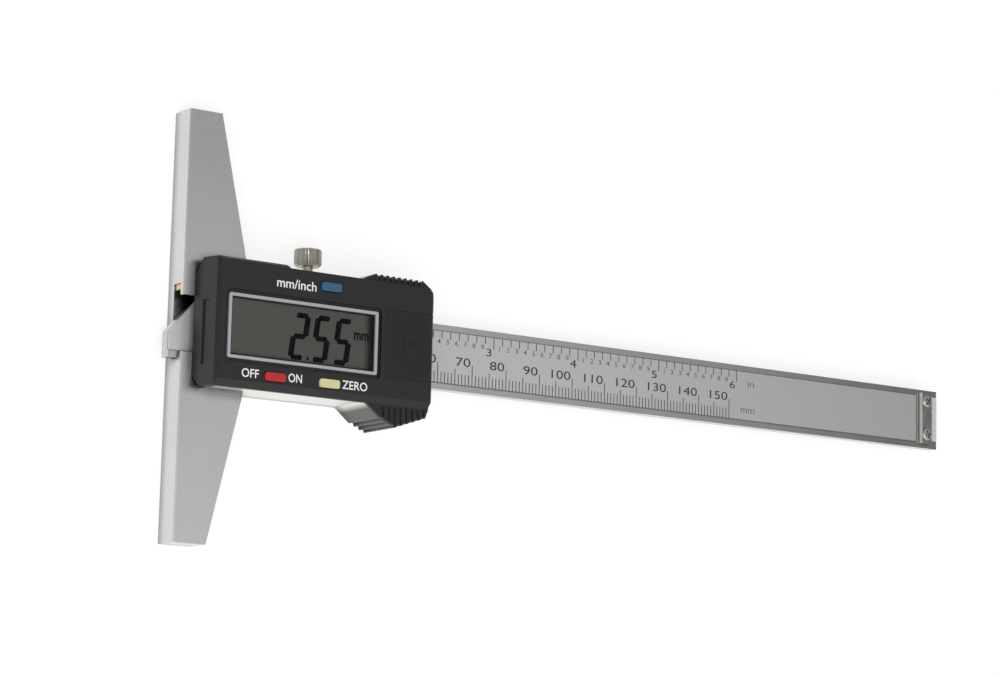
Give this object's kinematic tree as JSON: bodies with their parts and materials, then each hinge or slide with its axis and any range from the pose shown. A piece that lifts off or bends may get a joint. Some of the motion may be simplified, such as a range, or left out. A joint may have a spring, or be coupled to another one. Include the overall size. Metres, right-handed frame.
{
  "type": "digital depth gauge",
  "caption": "Digital depth gauge: steel measuring base with a plastic display housing, sliding bevel-tipped scale beam, knurled lock screw, push buttons and battery cover.",
  "frame": {"origin": "on the plane of the base's measuring face, on the beam's centre line, level with the flat back", "axes": "+X along the beam away from the measuring face, +Y towards the lock screw, +Z out of the display"},
  "size_m": [0.2355, 0.1, 0.0155],
  "materials": {
    "base_bar": "ground and satin",
    "slider_frame": "satin",
    "gib_strip": "satin",
    "gib_screws": "plain",
    "base_screws": "plain",
    "housing_shell": "fine texture",
    "housing_screws": "plain",
    "bezel_frame": "satin silver",
    "lcd_window": "clear",
    "lcd_glass": "grey-green, satin",
    "zebra_strips": "plain",
    "circuit_board": "solder mask",
    "button_switches": "plain",
    "button_cell": "bright",
    "contact_negative": "bright",
    "contact_positive": "bright",
    "battery_cover": "fine texture, ribbed",
    "button_mm_inch": "satin",
    "button_on_off": "satin",
    "button_zero": "satin",
    "lock_screw": "satin, knurled",
    "lock_pad": "plain",
    "beam": "satin",
    "stator_strip": "laminate",
    "scale_film": "satin silver print",
    "end_plate": "satin",
    "end_plate_screws": "bright"
  },
  "bodies": {
    "slider": {"base_bar": "base_bar", "slider_frame": "slider_frame", "gib_strip": "gib_strip", "gib_screws": "gib_screws", "base_screws": "base_screws", "housing_shell": "housing_shell", "housing_screws": "housing_screws", "bezel_frame": "bezel_frame", "lcd_window": "lcd_window", "lcd_glass": "lcd_glass", "zebra_strips": "zebra_strips", "circuit_board": "circuit_board", "button_switches": "button_switches", "button_cell": "button_cell", "contact_negative": "contact_negative", "contact_positive": "contact_positive"},
    "beam": {"beam": "beam", "stator_strip": "stator_strip", "scale_film": "scale_film", "end_plate": "end_plate", "end_plate_screws": "end_plate_screws"},
    "lock_pad": {"lock_pad": "lock_pad"},
    "lock_screw": {"lock_screw": "lock_screw"},
    "battery_cover": {"battery_cover": "battery_cover"},
    "button_mm_inch": {"button_mm_inch": "button_mm_inch"},
    "button_on_off": {"button_on_off": "button_on_off"},
    "button_zero": {"button_zero": "button_zero"}
  },
  "joints": [
    {"name": "beam_slide", "type": "slide", "parent": "slider", "child": "beam", "axis": [-1, 0, 0], "range_m": [-0.00255, 0.14745]},
    {"name": "lock_pad_slide", "type": "slide", "parent": "slider", "child": "lock_pad", "axis": [0, -1, 0], "range_m": [-0.000225, 0.0002]},
    {"name": "lock_screw_turn", "type": "hinge", "parent": "lock_pad", "child": "lock_screw", "pos_m": [0.0342, 0.0195, 0.0046], "axis": [0, -1, 0], "range_deg": [-185, 165]},
    {"name": "button_mm_inch_press", "type": "slide", "parent": "slider", "child": "button_mm_inch", "axis": [0, 0, -1], "range_m": [0, 0.0004], "stiffness_N_per_m": 400, "springref_m": -0.0005},
    {"name": "button_on_off_press", "type": "slide", "parent": "slider", "child": "button_on_off", "axis": [0, 0, -1], "range_m": [0, 0.0004], "stiffness_N_per_m": 400, "springref_m": -0.0005},
    {"name": "button_zero_press", "type": "slide", "parent": "slider", "child": "button_zero", "axis": [0, 0, -1], "range_m": [0, 0.0004], "stiffness_N_per_m": 400, "springref_m": -0.0005},
    {"name": "battery_cover_slide", "type": "slide", "parent": "slider", "child": "battery_cover", "axis": [1, 0, 0], "range_m": [0, 0.018]}
  ],
  "couplings": [
    {"joint": "lock_screw_turn", "follows": "lock_pad_slide", "rad_per_m": 13963}
  ]
}
